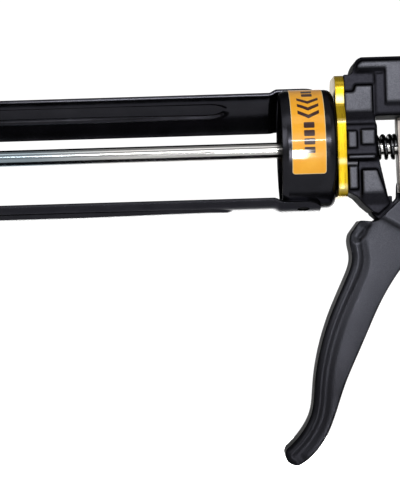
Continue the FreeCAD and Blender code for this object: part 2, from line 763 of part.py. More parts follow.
def make_body_casting():
    """The die-cast frame and handle, with its neck, bores, ears and pivot hole."""
    neck = ring_x(NECK_R, 0, NECK_FRONT_X, FRAME_X + CUT_OVER)
    ears = []
    inner = LEVER_HALF + FACE_GAP
    for y0 in (-inner - EAR_WALL, inner):
        lug = bar_y(EAR_R, y0, y0 + EAR_WALL, LEVER_MIDDLE_X, LEVER_PIN_Z)
        arm = Part.makeBox(
            LEVER_MIDDLE_X - REAR_WALL_END + CUT_OVER,
            EAR_WALL,
            2.0 * EAR_R,
            Vector(REAR_WALL_END - CUT_OVER, y0, LEVER_PIN_Z - EAR_R),
        )
        ears += [lug, arm]
    body = fuse(make_frame_core(), [neck, make_handle()] + frame_pads() + ears)
    room_low = LEVER_PIN_Z - LEVER_CURL_R - LEVER_CURL_ROOM
    lever_room = Part.makeBox(
        2.0 * LEVER_TAB_LENGTH,
        2.0 * (LEVER_HALF + FACE_GAP),
        -room_low,
        Vector(REAR_WALL_END, -LEVER_HALF - FACE_GAP, room_low),
    )
    body = body.cut(lever_room)
    body = body.cut(bar_y(LEVER_PIN_R, -SIDE_TOP, SIDE_TOP, LEVER_MIDDLE_X, LEVER_PIN_Z))
    body = body.cut(ring_x(BUSH_R, 0, NECK_FRONT_X - CUT_OVER, FRONT_BUSH_END))
    body = body.cut(ring_x(SPRING_POCKET_R, 0, FRONT_BUSH_END, WINDOW_X + CUT_OVER))
    body = body.cut(ring_x(BUSH_R, 0, REAR_WALL_X - CUT_OVER, REAR_WALL_END + CUT_OVER))
    body = body.cut(bar_y(PIVOT_R, -SIDE_TOP, SIDE_TOP, PIVOT_X, PIVOT_Z))
    for y, z in plate_screw_places():
        hole_end = PLATE_X + PLATE_SCREW_LENGTH + PLATE_SCREW_END_ROOM
        body = body.cut(ring_x(PLATE_SCREW_R, 0, FRAME_X - CUT_OVER, hole_end, y, z))
    return body


def at_pivot(points):
    """Points of the trigger, moved to where its pivot is."""
    return [Vector(x, 0, z) for x, z in placed(points, PIVOT_X, PIVOT_Z)]


def smooth_edge(points):
    curve = Part.BSplineCurve()
    curve.interpolate(points)
    return curve.toShape()


def straight_edges(points):
    return [Part.LineSegment(start, end).toShape() for start, end in zip(points[:-1], points[1:])]


def trigger_outline():
    """The trigger's side outline: smooth front and back edges, and the arms around the pivot."""
    front = at_pivot(TRIGGER_FRONT)
    back = at_pivot(TRIGGER_BACK)
    tip_middle = at_pivot([TRIGGER_TIP_MIDDLE])[0]
    boss_r = PUSH_PIN_R + PUSH_BOSS_WALL
    boss_rear = Vector(PUSH_PIN_X + boss_r, 0, PUSH_PIN_Z)
    boss_top = Vector(PUSH_PIN_X, 0, PUSH_PIN_Z + boss_r)
    boss_front = Vector(PUSH_PIN_X - boss_r, 0, PUSH_PIN_Z)
    edges = [smooth_edge(front)]
    edges.append(Part.Arc(front[-1], tip_middle, back[0]).toShape())
    edges.append(smooth_edge(back))
    edges += straight_edges(back[-1:] + at_pivot(TRIGGER_HEEL) + [boss_rear])
    edges.append(Part.Arc(boss_rear, boss_top, boss_front).toShape())
    edges += straight_edges([boss_front] + at_pivot(TRIGGER_NOSE) + front[:1])
    return Part.Wire(edges)


def taper(top_half, tip_half):
    """A tall wedge, narrower at the trigger's tip, that trims a plate's width."""
    front_x = PIVOT_X - PART_REACH
    top_z = BRIDGE_TOP
    low_z = PIVOT_Z + TRIGGER_LOW
    corners = [
        Vector(front_x, -tip_half, low_z),
        Vector(front_x, tip_half, low_z),
        Vector(front_x, top_half, PIVOT_Z),
        Vector(front_x, top_half, top_z),
        Vector(front_x, -top_half, top_z),
        Vector(front_x, -top_half, PIVOT_Z),
    ]
    face = Part.Face(Part.makePolygon(corners + corners[:1]))
    return face.extrude(Vector(2.0 * PART_REACH, 0, 0))


def block_above(x, z, height):
    """A wide block behind x and above z, for what a cut leaves."""
    corner = Vector(x, -PART_REACH, z)
    return Part.makeBox(2.0 * PART_REACH, 2.0 * PART_REACH, height, corner)


def make_trigger():
    """The die-cast trigger: a channel with a closed front that straddles the frame's web."""
    face = Part.Face(trigger_outline())
    face.translate(Vector(0, -TRIGGER_HALF, 0))
    whole = face.extrude(Vector(0, 2.0 * TRIGGER_HALF, 0))
    hollow = whole.copy()
    hollow.translate(Vector(TRIGGER_FRONT_WALL, 0, 0))
    above_tip = block_above(PIVOT_X - PART_REACH, PIVOT_Z + TRIGGER_SOLID_TIP, 2.0 * PART_REACH)
    arms_room = block_above(PIVOT_X + ARMS_ROOM_BACK, PIVOT_Z + ARMS_ROOM_LOW, PART_REACH)
    room = hollow.common(above_tip).fuse(arms_room)
    inner_taper = taper(TRIGGER_INNER_HALF, TRIGGER_TIP_HALF - TRIGGER_WALL)
    trigger = whole.common(taper(TRIGGER_HALF, TRIGGER_TIP_HALF)).cut(room.common(inner_taper))
    pivot = bar_y(PIVOT_R + RUN_GAP, -SIDE_TOP, SIDE_TOP, PIVOT_X, PIVOT_Z)
    push = bar_y(PUSH_PIN_R, -SIDE_TOP, SIDE_TOP, PUSH_PIN_X, PUSH_PIN_Z)
    return trigger.cut(pivot).cut(push)


def make_pivot_bolt():
    """The round-headed shoulder bolt that the trigger turns on."""
    head_y = -TRIGGER_HALF - FACE_GAP
    face_y = head_y - PIVOT_HEAD
    end_y = TRIGGER_HALF + FACE_GAP + PIVOT_HEAD + PIVOT_THREAD
    bolt = bar_y(PIVOT_R, head_y, end_y, PIVOT_X, PIVOT_Z)
    head = bar_y(PIVOT_HEAD_R, face_y, head_y, PIVOT_X, PIVOT_Z)
    socket = bar_y(PIVOT_SOCKET_R, face_y - CUT_OVER, face_y + PIVOT_SOCKET, PIVOT_X, PIVOT_Z)
    return fuse(bolt, [head]).cut(socket)


def hexagon_prism(across_r, length, base, axis):
    """A hexagonal bar along X or Y, with across_r from its axis to a corner."""
    corners = []
    first = Vector(0, 1, 0) if axis.x else Vector(1, 0, 0)
    for index in range(6):
        turn = math.radians(60.0 * index)
        corners.append(base + first * (across_r * math.cos(turn)) + UP * (across_r * math.sin(turn)))
    return Part.Face(Part.makePolygon(corners + corners[:1])).extrude(axis * length)


def make_pivot_nut():
    y0 = TRIGGER_HALF + FACE_GAP
    nut = hexagon_prism(PIVOT_NUT_R, PIVOT_HEAD, Vector(PIVOT_X, y0, PIVOT_Z), Vector(0, 1, 0))
    return nut.cut(bar_y(PIVOT_R, y0 - CUT_OVER, y0 + PIVOT_HEAD + CUT_OVER, PIVOT_X, PIVOT_Z))


def make_push_pin():
    """The cross pin in the trigger's arms that pushes the drive plate's tail."""
    return bar_y(PUSH_PIN_R, -TRIGGER_HALF, TRIGGER_HALF, PUSH_PIN_X, PUSH_PIN_Z)


def plate_on_rod(outline_yz, x0):
    """A flat plate across the rod, with the hole that the rod runs through."""
    corners = [Vector(x0, y, z) for y, z in outline_yz]
    face = Part.Face(Part.makePolygon(corners + corners[:1]))
    plate = face.extrude(Vector(DRIVE_PLATE_WALL, 0, 0))
    return plate.cut(ring_x(ROD_R + HOLE_GAP, 0, x0 - CUT_OVER, x0 + DRIVE_PLATE_WALL + CUT_OVER))


def make_drive_plate():
    """The gripping plate, with the tail that the trigger pushes."""
    wide = DRIVE_PLATE_HALF
    slim = DRIVE_TAIL_HALF
    outline = [
        (-wide, DRIVE_PLATE_TOP),
        (wide, DRIVE_PLATE_TOP),
        (wide, GRIP_PLATE_BOTTOM),
        (slim, DRIVE_PLATE_TAIL),
        (-slim, DRIVE_PLATE_TAIL),
        (-wide, GRIP_PLATE_BOTTOM),
    ]
    return plate_on_rod(outline, DRIVE_PLATE_X)


def make_grip_plate():
    """The second gripping plate behind the first."""
    wide = DRIVE_PLATE_HALF
    top = DRIVE_PLATE_TOP - GRIP_PLATE_DROP
    outline = [(-wide, top), (wide, top), (wide, GRIP_PLATE_BOTTOM), (-wide, GRIP_PLATE_BOTTOM)]
    return plate_on_rod(outline, GRIP_PLATE_X)


def make_drive_spring():
    x0 = FRONT_BUSH_END + SPRING_SEAT_GAP
    x1 = DRIVE_PLATE_X - SPRING_SEAT_GAP
    return coil_x(DRIVE_SPRING_R, DRIVE_SPRING_WIRE_R, x0, x1, DRIVE_SPRING_TURNS)


def make_release_spring():
    x0 = REAR_WALL_END + SPRING_SEAT_GAP
    x1 = LEVER_X - SPRING_SEAT_GAP
    return coil_x(DRIVE_SPRING_R, RELEASE_SPRING_WIRE_R, x0, x1, RELEASE_SPRING_TURNS)


def make_release_lever():
    """The rear plate that locks the rod, with its thumb tab and the curl around its pin."""
    x0 = LEVER_X
    x1 = LEVER_X + LEVER_WALL
    tab_x = x1 + LEVER_TAB_LENGTH
    outline = [
        (x0, LEVER_PIN_Z),
        (x0, LEVER_TOP),
        (x0 + LEVER_BEND, LEVER_TOP + LEVER_BEND),
        (tab_x, LEVER_TOP + LEVER_TAB_RISE),
        (tab_x, LEVER_TOP + LEVER_TAB_RISE - LEVER_WALL),
        (x1 + LEVER_BEND_INSIDE, LEVER_TOP),
        (x1, LEVER_TOP - LEVER_BEND_INSIDE),
        (x1, LEVER_PIN_Z),
    ]
    plate = prism_y(outline, LEVER_HALF)
    curl = bar_y(LEVER_CURL_R, -LEVER_HALF, LEVER_HALF, LEVER_MIDDLE_X, LEVER_PIN_Z)
    lever = fuse(plate, [curl])
    pin_r = LEVER_PIN_R + RUN_GAP
    hole_r = ROD_R + HOLE_GAP
    reach = LEVER_HALF + CUT_OVER
    lever = lever.cut(bar_y(pin_r, -reach, reach, LEVER_MIDDLE_X, LEVER_PIN_Z))
    for shift in (-LEVER_SLOT_EXTRA, LEVER_SLOT_EXTRA):
        lever = lever.cut(ring_x(hole_r, 0, x0 - CUT_OVER, x1 + CUT_OVER, 0, shift))
    slot = Part.makeBox(
        LEVER_WALL + 2.0 * CUT_OVER,
        2.0 * hole_r,
        2.0 * LEVER_SLOT_EXTRA,
        Vector(x0 - CUT_OVER, -hole_r, -LEVER_SLOT_EXTRA),
    )
    return lever.cut(slot)


def make_lever_pin():
    reach = LEVER_HALF + FACE_GAP + EAR_WALL
    return bar_y(LEVER_PIN_R, -reach, reach, LEVER_MIDDLE_X, LEVER_PIN_Z)


def make_push_rod():
    """The round rod with its bent pull hook."""
    start = Vector(ROD_FRONT_X, 0, 0)
    bend_start = Vector(ROD_TAIL, 0, 0)
    r = HOOK_BEND_R
    bend_middle = Vector(ROD_TAIL + r * math.sqrt(0.5), 0, -r * (1.0 - math.sqrt(0.5)))
    bend_end = Vector(ROD_TAIL + r, 0, -r)
    hook_end = Vector(ROD_TAIL + r, 0, -HOOK_DROP)
    path = Part.Wire(
        [
            Part.LineSegment(start, bend_start).toShape(),
            Part.Arc(bend_start, bend_middle, bend_end).toShape(),
            Part.LineSegment(bend_end, hook_end).toShape(),
        ]
    )
    section = Part.Wire(Part.makeCircle(ROD_R, start, Vector(1, 0, 0)))
    return path.makePipeShell([section], True, True)


def make_piston_plate():
    """The dished disc that pushes the cartridge's bottom."""
    disc = ring_x(PISTON_R, ROD_R + FIT_GAP, PISTON_X, PISTON_X + PISTON_WALL)
    rim = ring_x(PISTON_R, PISTON_R - PISTON_WALL, PISTON_X, PISTON_X + PISTON_RIM)
    return fuse(disc, [rim])


def make_piston_backing():
    return ring_x(BACKING_R, ROD_R + FIT_GAP, BACKING_X, BACKING_X + BACKING_WALL)


def make_piston_nut():
    base = Vector(ROD_FRONT_X + PISTON_NUT_GAP, 0, 0)
    nut = hexagon_prism(PISTON_NUT_ACROSS_R, PISTON_NUT_HEIGHT, base, Vector(1, 0, 0))
    return nut.cut(ring_x(ROD_R, 0, ROD_FRONT_X - CUT_OVER, PISTON_X + CUT_OVER))


def make_piston_collar():
    """The collar pressed on the rod, which the piston's backing bears on."""
    x0 = BACKING_X + BACKING_WALL + FIT_GAP
    return ring_x(BUSH_R, ROD_R, x0, x0 + PISTON_NUT_HEIGHT)


NODES = {
    "cradle_cup": make_cradle_cup,
    "upper_rail": lambda: make_rail(RAIL_ANGLES[0]),
    "lower_rail": lambda: make_rail(RAIL_ANGLES[1]),
    "cup_rivets": make_cup_rivets,
    "front_plate": make_front_plate,
    "front_rivets": make_front_rivets,
    "cup_label": make_cup_label,
    "friction_washer": make_friction_washer,
    "face_plate": make_face_plate,
    "plate_screws": make_plate_screws,
    "retaining_nut": make_retaining_nut,
    "front_bushing": make_front_bushing,
    "rear_bushing": make_rear_bushing,
    "body_casting": make_body_casting,
    "trigger": make_trigger,
    "pivot_bolt": make_pivot_bolt,
    "pivot_nut": make_pivot_nut,
    "push_pin": make_push_pin,
    "drive_plate": make_drive_plate,
    "grip_plate": make_grip_plate,
    "drive_spring": make_drive_spring,
    "release_spring": make_release_spring,
    "release_lever": make_release_lever,
    "lever_pin": make_lever_pin,
    "push_rod": make_push_rod,
    "piston_plate": make_piston_plate,
    "piston_backing": make_piston_backing,
    "piston_nut": make_piston_nut,
    "piston_collar": make_piston_collar,
}

os.makedirs("parts", exist_ok=True)
for node, make in NODES.items():
    shape = make()
    shape.exportStep("parts/" + node + ".step")
    print(node, shape.isValid(), len(shape.Solids), round(shape.Volume / 1000.0, 2), "cm3")
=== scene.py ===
import math

import bmesh
import bpy
from mathutils import Matrix, Vector, kdtree


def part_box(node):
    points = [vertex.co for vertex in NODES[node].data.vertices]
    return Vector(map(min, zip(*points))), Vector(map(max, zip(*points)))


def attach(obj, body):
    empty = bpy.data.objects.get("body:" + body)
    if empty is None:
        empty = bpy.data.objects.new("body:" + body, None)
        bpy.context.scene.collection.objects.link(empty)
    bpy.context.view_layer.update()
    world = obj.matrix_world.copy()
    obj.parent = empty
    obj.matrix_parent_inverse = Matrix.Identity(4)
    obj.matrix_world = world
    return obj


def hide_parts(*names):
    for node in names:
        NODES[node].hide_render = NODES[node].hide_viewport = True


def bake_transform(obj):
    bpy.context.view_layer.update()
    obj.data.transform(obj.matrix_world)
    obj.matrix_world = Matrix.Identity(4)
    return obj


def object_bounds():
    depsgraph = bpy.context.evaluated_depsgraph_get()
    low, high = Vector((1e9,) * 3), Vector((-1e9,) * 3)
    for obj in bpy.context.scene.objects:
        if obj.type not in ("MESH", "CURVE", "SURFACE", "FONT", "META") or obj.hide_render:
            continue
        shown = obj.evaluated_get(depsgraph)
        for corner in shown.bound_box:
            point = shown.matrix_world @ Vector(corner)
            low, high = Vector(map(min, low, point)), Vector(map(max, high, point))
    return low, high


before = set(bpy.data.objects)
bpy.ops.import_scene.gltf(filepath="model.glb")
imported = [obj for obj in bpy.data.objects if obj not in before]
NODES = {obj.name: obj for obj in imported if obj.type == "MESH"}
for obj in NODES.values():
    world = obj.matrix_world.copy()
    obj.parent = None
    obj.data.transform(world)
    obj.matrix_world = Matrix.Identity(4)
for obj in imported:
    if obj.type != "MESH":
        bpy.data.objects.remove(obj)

CAD_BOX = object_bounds()
MM = 0.001

# Sizes and places read from the CAD nodes in model.glb, in metres
CUP_LOW, CUP_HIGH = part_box("cradle_cup")
CUP_R = CUP_HIGH.y
CUP_MOUTH = CUP_LOW.x
CUP_REAR = CUP_HIGH.x
RAIL_LOW, RAIL_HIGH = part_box("upper_rail")
RAIL_FRONT = RAIL_LOW.x
RAIL_REAR = RAIL_HIGH.x
LABEL_LOW, LABEL_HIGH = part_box("cup_label")
TRIGGER_LOW, TRIGGER_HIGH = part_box("trigger")
PIVOT = sum(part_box("pivot_bolt"), Vector()) / 2

# Sheet metal sizes, as in the design
SHEET = 1.5 * MM
RAIL_SHEET = 1.6 * MM
RAIL_R = 29.4 * MM
RAIL_HALF = math.radians(31.0)
RAIL_ANGLES = (math.radians(52.5), math.radians(-90.0))
RIVET_HALF_SPREAD = math.radians(16.0)
RIVET_HOLE_R = 3.0 * MM
FRONT_HOLE_R = 2.0 * MM
FRONT_HOLE_AT = 7.0 * MM
RAIL_JOGGLE = 4.0 * MM
TAB_GAP = 0.05 * MM
TAB_CORNER = 7.0 * MM
BEAD_HALF = 6.4 * MM
BEAD_HEIGHT = 1.7 * MM
BEAD_EDGE = 2.4 * MM
BEAD_END_ROOM = 22.0 * MM
NECK_R = 11.0 * MM
NECK_GAP = 0.06 * MM

# The label on the cup: where it starts and ends round the cup, and its printed marks
LABEL_START = math.radians(85.0)
LABEL_END = math.radians(207.0)
LABEL_BORDER = 0.3 * MM
INK_LIFT = 0.15 * MM
INK = 0.06 * MM
BAR_DEGREES = (112.0, 120.0, 160.0, 168.0, 176.0, 184.0)
BAR_HALF_LENGTH = 2.6 * MM
BAR_WIDTH = 3.0 * MM
CHEVRON_DEGREES = (131.0, 140.0, 149.0)

# The shape of the trigger's side: a rolled front edge, and behind it a groove, a scoop and a step
ROLL = 3.6 * MM
GROOVE_AT = 5.4 * MM
GROOVE_HALF = 2.3 * MM
GROOVE_DEPTH = 0.6 * MM
SCOOP_X = PIVOT.x - 29.6 * MM
SCOOP_Z = PIVOT.z - 8.6 * MM
SCOOP_HALF_LENGTH = 5.2 * MM
SCOOP_HALF_WIDTH = 3.2 * MM
SCOOP_DEPTH = 1.9 * MM
STEP_X = PIVOT.x - 14.0 * MM
STEP_Z = PIVOT.z - 4.6 * MM
STEP_HALF = 1.6 * MM
STEP_DEPTH = 0.8 * MM
DEEPEST = 2.4 * MM
SIDE_REACH = 5.5 * MM
TIP_HALF = 11.0 * MM

# The stage and the camera, in metres
FLOOR_R = 2.6
FLOOR_DROP = 0.3
CAMERA_DISTANCE = 0.78
CAMERA_COVERS = 0.24925
CAMERA_ROLL = math.radians(1.716)
LOOK_AT = Vector((-0.0662, 0, -0.04843))


# ---------------------------------------------------------------- mesh helpers

def step_between(value, low, high):
    """A smooth step from 0 at low to 1 at high."""
    t = min(max((value - low) / (high - low), 0.0), 1.0)
    return t * t * (3 - 2 * t)


def add_object(name, mesh):
    """A new object in the scene."""
    piece = bpy.data.objects.new(name, mesh)
    bpy.context.scene.collection.objects.link(piece)
    return piece


def mesh_from(name, vertices, faces):
    """A mesh from its points and its faces' point numbers."""
    mesh = bpy.data.meshes.new(name)
    mesh.from_pydata([tuple(v) for v in vertices], [], faces)
    mesh.validate()
    return mesh


def smooth(mesh, angle):
    """Smooth shading, with a crease at edges that turn by more than an angle in degrees."""
    mesh.shade_smooth()
    mesh.set_sharp_from_angle(angle=math.radians(angle))


def baked(piece):
    """Applies a piece's modifiers."""
    bpy.context.view_layer.update()
    graph = bpy.context.evaluated_depsgraph_get()
    mesh = bpy.data.meshes.new_from_object(piece.evaluated_get(graph))
    mesh.name = piece.name
    old = piece.data
    piece.modifiers.clear()
    piece.data = mesh
    bpy.data.meshes.remove(old)
    return piece


def face_outwards(mesh):
    """Turns all faces outwards."""
    form = bmesh.new()
    form.from_mesh(mesh)
    bmesh.ops.recalc_face_normals(form, faces=form.faces)
    form.to_mesh(mesh)
    form.free()


def mounted(piece, body, slot, material, *nodes):
    """Gives a piece its material and body, and hides the CAD nodes that it stands for. The slot is not
    used.
    """
    piece.data.materials.clear()
    piece.data.materials.append(material)
    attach(piece, body)
    if nodes:
        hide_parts(*nodes)


def round_corners(points, radii, steps):
    """A closed outline of (u, v) points with each corner turned into an arc; one radius each."""
    straight = 0.02
    longest = 0.48
    out = []
    count = len(points)
    for i, (corner, radius) in enumerate(zip(points, radii)):
        corner = Vector(corner)
        before = Vector(points[i - 1]) - corner
        after = Vector(points[(i + 1) % count]) - corner
        turn = before.angle(after, 0.0)
        if not straight < turn < math.pi - straight:
            out.append(tuple(corner))
            continue
        reach = min(radius / math.tan(turn / 2), longest * before.length, longest * after.length)
        radius = reach * math.tan(turn / 2)
        start = corner + before.normalized() * reach
        end = corner + after.normalized() * reach
        middle = (before.normalized() + after.normalized()).normalized()
        centre = corner + middle * (radius / math.sin(turn / 2))
        spoke = start - centre
        sweep = spoke.angle_signed(end - centre)
        for k in range(steps + 1):
            turned = spoke.copy()
            turned.rotate(Matrix.Rotation(-sweep * k / steps, 2))
            out.append(tuple(centre + turned))
    return out


def skin_faces(rows, count, closed):
    """Faces between rows of count points; in closed rows the last point joins the first."""
    faces = []
    for i in range(rows - 1):
        near = i * count
        far = near + count
        for k in range(count if closed else count - 1):
            after = (k + 1) % count
            faces.append((near + k, near + after, far + after, far + k))
    return faces


def lathe(name, profile, segments):
    """A solid of revolution about the X axis from a closed outline of (x, radius) points."""
    vertices = []
    faces = []
    count = len(profile)
    for s in range(segments):
        turn = 2 * math.pi * s / segments
        for x, r in profile:
            vertices.append((x, r * math.cos(turn), r * math.sin(turn)))
    for s in range(segments):
        after = (s + 1) % segments
        for p in range(count):
            q = (p + 1) % count
            faces.append((s * count + p, s * count + q, after * count + q, after * count + p))
    mesh = mesh_from(name, vertices, faces)
    face_outwards(mesh)
    smooth(mesh, 32.0)
    return add_object(name, mesh)


def node_copy(node, name, join_flat):
    """A copy of a CAD node with its doubled points joined, and its flat faces too if asked."""
    mesh = NODES[node].data.copy()
    form = bmesh.new()
    form.from_mesh(mesh)
    bmesh.ops.remove_doubles(form, verts=form.verts, dist=1e-6)
    if join_flat:
        bmesh.ops.dissolve_limit(
            form, angle_limit=math.radians(0.6), verts=form.verts, edges=form.edges
        )
    form.to_mesh(mesh)
    form.free()
    return add_object(name, mesh)


def bevelled(piece, width, angle):
    """Rounds the edges that turn by more than an angle in degrees."""
    bevel = piece.modifiers.new("edges", "BEVEL")
    bevel.width = width
    bevel.segments = 3
    bevel.limit_method = "ANGLE"
    bevel.angle_limit = math.radians(angle)
    bevel.use_clamp_overlap = True
    return baked(piece)


def softened(node, name, width, angle):
    """A copy of a CAD node with its edges rounded, for machined and pressed pieces."""
    piece = bevelled(node_copy(node, name, True), width, angle)
    smooth(piece.data, 40.0)
    return piece


def even_skin(piece, voxel, rounds):
    """Turns a piece into one even skin with softened edges, as a casting has."""
    skin = piece.modifiers.new("skin", "REMESH")
    skin.mode = "VOXEL"
    skin.voxel_size = voxel
    soften = piece.modifiers.new("soften", "SMOOTH")
    soften.factor = 0.5
    soften.iterations = rounds
    return baked(piece)


def thinned(piece, ratio):
    """Keeps a share of a piece's faces, where the surface bends most."""
    fewer = piece.modifiers.new("fewer", "DECIMATE")
    fewer.ratio = ratio
    baked(piece)


def rail_stations(bead_front, bead_rear, step_start):
    """Places along a rail, closer together where its sheet bends."""
    stations = []
    x = RAIL_FRONT
    while x < RAIL_REAR - 0.01 * MM:
        stations.append(x)
        near_bead_end = abs(x - bead_front) < 9 * MM or -8 * MM < x - bead_rear < 16 * MM
        bends = near_bead_end or x > step_start - 2 * MM
        x += 0.5 * MM if bends else 2.5 * MM
    stations.append(RAIL_REAR)
    return stations


def bead_lift(x, arc, bead_front, bead_rear):
    """How far a rail's bead stands out at a place; it gets lower rearwards and ends in a taper."""
    past_end = max(bead_front - x, 0.55 * (x - bead_rear), 0.0)
    inside = BEAD_HALF - math.hypot(past_end, arc)
    lowered = 1.0 - 0.4 * step_between(x, bead_rear - 70 * MM, bead_rear)
    return BEAD_HEIGHT * step_between(inside, 0.0, BEAD_EDGE) * lowered


def sheet_rail(name, angle):
    """A pressed rail as a curved sheet: bead with rounded ends, step over the cup, rounded tab."""
    tab_r = CUP_R + TAB_GAP + RAIL_SHEET / 2
    main_r = RAIL_R - RAIL_SHEET / 2
    step_end = CUP_MOUTH - 0.2 * MM
    step_start = step_end - RAIL_JOGGLE
    bead_front = RAIL_FRONT + BEAD_END_ROOM + BEAD_HALF
    bead_rear = CUP_MOUTH - BEAD_END_ROOM - 2 * BEAD_HALF
    across = 56
    stations = rail_stations(bead_front, bead_rear, step_start)
    vertices = []
    for x in stations:
        radius = main_r + (tab_r - main_r) * step_between(x, step_start, step_end)
        half = RAIL_HALF
        past_side = x - (RAIL_REAR - TAB_CORNER)
        if past_side > 0:
            inset = TAB_CORNER - math.sqrt(max(TAB_CORNER ** 2 - past_side ** 2, 0.0))
            half -= inset / RAIL_R * 0.9
        for k in range(across + 1):
            a = half * (2 * k / across - 1)
            r = radius + bead_lift(x, a * RAIL_R, bead_front, bead_rear)
            vertices.append((x, r * math.cos(angle + a), r * math.sin(angle + a)))
    faces = skin_faces(len(stations), across + 1, False)
    piece = add_object(name, mesh_from(name, vertices, faces))
    thick = piece.modifiers.new("sheet", "SOLIDIFY")
    thick.thickness = RAIL_SHEET
    thick.offset = 0.0
    thick.use_even_offset = True
    bevelled(piece, 0.45 * MM, 60.0)
    face_outwards(piece.data)
    return piece


def punched(piece, x, angle, radius):
    """Cuts a round hole that points away from the rod's axis."""
    way = Vector((0, math.cos(angle), math.sin(angle)))
    place = Vector((x, 0, 0)) + way * 30 * MM
    turn = way.to_track_quat("Z", "Y").to_matrix().to_4x4()
    bpy.ops.mesh.primitive_cylinder_add(vertices=48, radius=radius, depth=12 * MM)
    cutter = bpy.context.object
    cutter.matrix_world = Matrix.Translation(place) @ turn
    cut = piece.modifiers.new("hole", "BOOLEAN")
    cut.operation = "DIFFERENCE"
    cut.solver = "EXACT"
    cut.object = cutter
    baked(piece)
    bpy.data.objects.remove(cutter)


def tube(name, points, radius):
    """A round wire of even thickness through many close points, with closed round ends."""
    sides = 20
    round_end = ((0.5, 0.6), (0.25, 0.9))
    last = len(points) - 1
    rings = []
    normal = None
    for i, point in enumerate(points):
        point = Vector(point)
        ahead = Vector(points[min(i + 1, last)]) - Vector(points[max(i - 1, 0)])
        ahead.normalize()
        if normal is None:
            normal = ahead.orthogonal().normalized()
        normal = (normal - ahead * normal.dot(ahead)).normalized()
        side = ahead.cross(normal)
        if i == 0:
            for reach, share in round_end:
                rings.append((point - ahead * radius * reach, normal, side, radius * share))
        rings.append((point, normal, side, radius))
        if i == last:
            for reach, share in reversed(round_end):
                rings.append((point + ahead * radius * reach, normal, side, radius * share))
    vertices = []
    for point, normal, side, r in rings:
        for k in range(sides):
            t = 2 * math.pi * k / sides
            vertices.append(point + normal * (r * math.cos(t)) + side * (r * math.sin(t)))
    faces = skin_faces(len(rings), sides, True)
    end = (len(rings) - 1) * sides
    faces.append(tuple(range(sides - 1, -1, -1)))
    faces.append(tuple(range(end, end + sides)))
    mesh = mesh_from(name, vertices, faces)
    face_outwards(mesh)
    smooth(mesh, 60.0)
    return add_object(name, mesh)


def coil_points(x0, x1, radius, turns, closed):
    """A compression spring's centre line about the X axis, its end turns wound closer."""
    per_turn = 48
    total = int(turns * per_turn)
    pitch_share = []
    for i in range(total):
        t = i / per_turn
        near_end = min(t, turns - t)
        pitch_share.append(0.35 if near_end < closed else 1.0)
    whole = sum(pitch_share)
    points = []
    run = 0.0
    for i in range(total + 1):
        a = 2 * math.pi * i / per_turn
        x = x0 + (x1 - x0) * run / whole
        points.append((x, radius * math.cos(a), radius * math.sin(a)))
        if i < total:
            run += pitch_share[i]
    return points


# ---------------------------------------------------------------- materials

def shader(name, base, roughness, metallic=0.0, coat=0.0, coat_roughness=0.1, specular=0.5):
    """A plain material, with its node tree and main shader for patterns to be added."""
    material = bpy.data.materials.new(name)
    material.use_nodes = True
    tree = material.node_tree
    main = tree.nodes["Principled BSDF"]
    main.inputs["Base Color"].default_value = (*base, 1)
    main.inputs["Roughness"].default_value = roughness
    main.inputs["Metallic"].default_value = metallic
    main.inputs["Coat Weight"].default_value = coat
    main.inputs["Coat Roughness"].default_value = coat_roughness
    main.inputs["Specular IOR Level"].default_value = specular
    return material, tree, main


def plug(tree, socket, value):
    """Gives a socket another node's output, a colour or a number."""
    if isinstance(value, bpy.types.NodeSocket):
        tree.links.new(value, socket)
    elif isinstance(value, tuple):
        socket.default_value = (*value, 1)
    else:
        socket.default_value = value


def coordinates(tree, scale=(1, 1, 1)):
    """Object coordinates, stretched so that a pattern can run along one way."""
    place = tree.nodes.new("ShaderNodeTexCoord")
    stretch = tree.nodes.new("ShaderNodeMapping")
    stretch.inputs["Scale"].default_value = scale
    tree.links.new(place.outputs["Object"], stretch.inputs["Vector"])
    return stretch.outputs["Vector"]


def axis(tree, vector, name):
    """One of a vector's three values."""
    node = tree.nodes.new("ShaderNodeSeparateXYZ")
    tree.links.new(vector, node.inputs["Vector"])
    return node.outputs[name]


def noise(tree, vector, scale, detail=3.0, rough=0.55):
    """A cloudy or grainy pattern around 0.5."""
    node = tree.nodes.new("ShaderNodeTexNoise")
    node.inputs["Scale"].default_value = scale
    node.inputs["Detail"].default_value = detail
    node.inputs["Roughness"].default_value = rough
    tree.links.new(vector, node.inputs["Vector"])
    return node.outputs["Fac"]


def ranged(tree, value, low, high, out_low, out_high):
    """A value from one range laid over another, and held within it."""
    node = tree.nodes.new("ShaderNodeMapRange")
    node.inputs["From Min"].default_value = low
    node.inputs["From Max"].default_value = high
    node.inputs["To Min"].default_value = out_low
    node.inputs["To Max"].default_value = out_high
    tree.links.new(value, node.inputs["Value"])
    return node.outputs["Result"]


def varied(tree, pattern, low, high):
    """A value between two that follows a noise pattern, which mostly stays within 0.3 to 0.7."""
    return ranged(tree, pattern, 0.3, 0.7, low, high)


def ramp(tree, value, stops):
    """Brightness from a value between -1 and 1, by stops of (value, brightness)."""
    node = tree.nodes.new("ShaderNodeValToRGB")
    elements = node.color_ramp.elements
    node.color_ramp.interpolation = "EASE"
    while len(elements) < len(stops):
        elements.new(0.5)
    for element, (place, light) in zip(elements, stops):
        element.position = place / 2 + 0.5
        element.color = (light, light, light, 1)
    tree.links.new(ranged(tree, value, -1.0, 1.0, 0.0, 1.0), node.inputs["Fac"])
    return node.outputs["Color"]


def math_node(tree, operation, first, second=0.0):
    """The result of an operation on one or two values."""
    node = tree.nodes.new("ShaderNodeMath")
    node.operation = operation
    plug(tree, node.inputs[0], first)
    plug(tree, node.inputs[1], second)
    return node.outputs["Value"]


